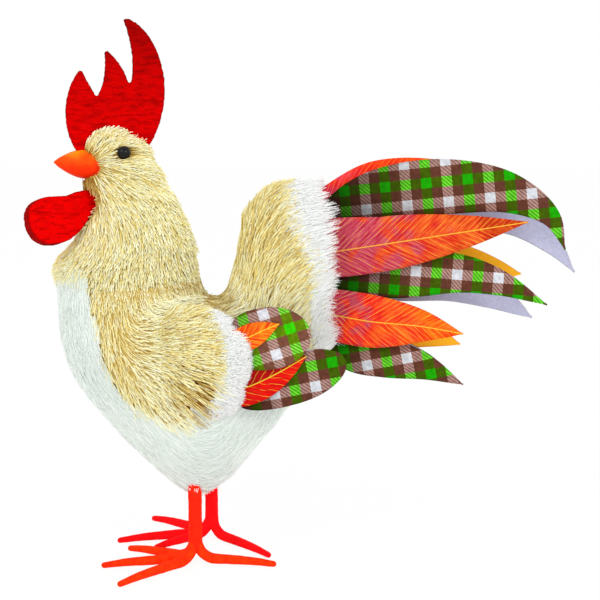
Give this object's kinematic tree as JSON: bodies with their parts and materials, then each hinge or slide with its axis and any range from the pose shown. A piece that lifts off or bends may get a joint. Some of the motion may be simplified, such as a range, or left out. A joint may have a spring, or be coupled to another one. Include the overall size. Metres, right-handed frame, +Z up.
{
  "type": "straw rooster figure",
  "caption": "Standing rooster ornament of sheared straw bristle over foam, with felt comb and wattle, wrapped wire legs, and plaid and leaf cloth feathers in wings and tail.",
  "frame": {"origin": "on the ground, under the middle of the figure's bounding box", "axes": "-X is where the beak points, +X runs to the tail, -Y is the figure's left side, +Z up"},
  "size_m": [0.3362, 0.1364, 0.3326],
  "materials": {
    "foam": "carved white foam",
    "wire": "plain steel wire",
    "straw": "sheared natural straw bristle",
    "white_bristle": "bleached soft bristle",
    "red_felt": "matte wool felt",
    "beak_orange": "satin paint",
    "black_bead": "polished",
    "leg_wrap": "matte painted wrap over wire",
    "plaid_cloth": "woven gingham with a white-grey backing",
    "leaf_cloth": "printed leaf cloth with lighter veins"
  },
  "bodies": {
    "root": {"neck_core": "foam", "torso_core": "foam", "tail_core": "foam", "neck_pin": "wire", "tail_pin": "wire", "leg_wire_left": "wire", "leg_wire_right": "wire", "neck_coat": "straw", "saddle_coat": "straw", "rump_coat": "straw", "wing_pad_left": "straw", "wing_pad_right": "straw", "belly_coat": "white_bristle", "tail_fringe": "white_bristle", "wing_fringe_left": "white_bristle", "wing_fringe_right": "white_bristle", "comb": "red_felt", "wattle": "red_felt", "beak": "beak_orange", "eye_left": "black_bead", "eye_right": "black_bead", "shank_left": "leg_wrap", "shank_right": "leg_wrap", "toe_outer_left": "leg_wrap", "toe_middle_left": "leg_wrap", "toe_inner_left": "leg_wrap", "toe_back_left": "leg_wrap", "toe_outer_right": "leg_wrap", "toe_middle_right": "leg_wrap", "toe_inner_right": "leg_wrap", "toe_back_right": "leg_wrap", "wing_plaid_upper_left": "plaid_cloth", "wing_plaid_upper_right": "plaid_cloth", "wing_plaid_lower_left": "plaid_cloth", "wing_plaid_lower_right": "plaid_cloth", "tail_plaid_top_left": "plaid_cloth", "tail_plaid_top_right": "plaid_cloth", "tail_plaid_middle_left": "plaid_cloth", "tail_plaid_middle_right": "plaid_cloth", "tail_plaid_lower_left": "plaid_cloth", "tail_plaid_lower_right": "plaid_cloth", "tail_leaf_top": "leaf_cloth", "wing_leaf_upper_left": "leaf_cloth", "wing_leaf_upper_right": "leaf_cloth", "wing_leaf_lower_left": "leaf_cloth", "wing_leaf_lower_right": "leaf_cloth", "tail_leaf_upper_left": "leaf_cloth", "tail_leaf_upper_right": "leaf_cloth", "tail_leaf_lower_left": "leaf_cloth", "tail_leaf_lower_right": "leaf_cloth"}
  },
  "joints": []
}
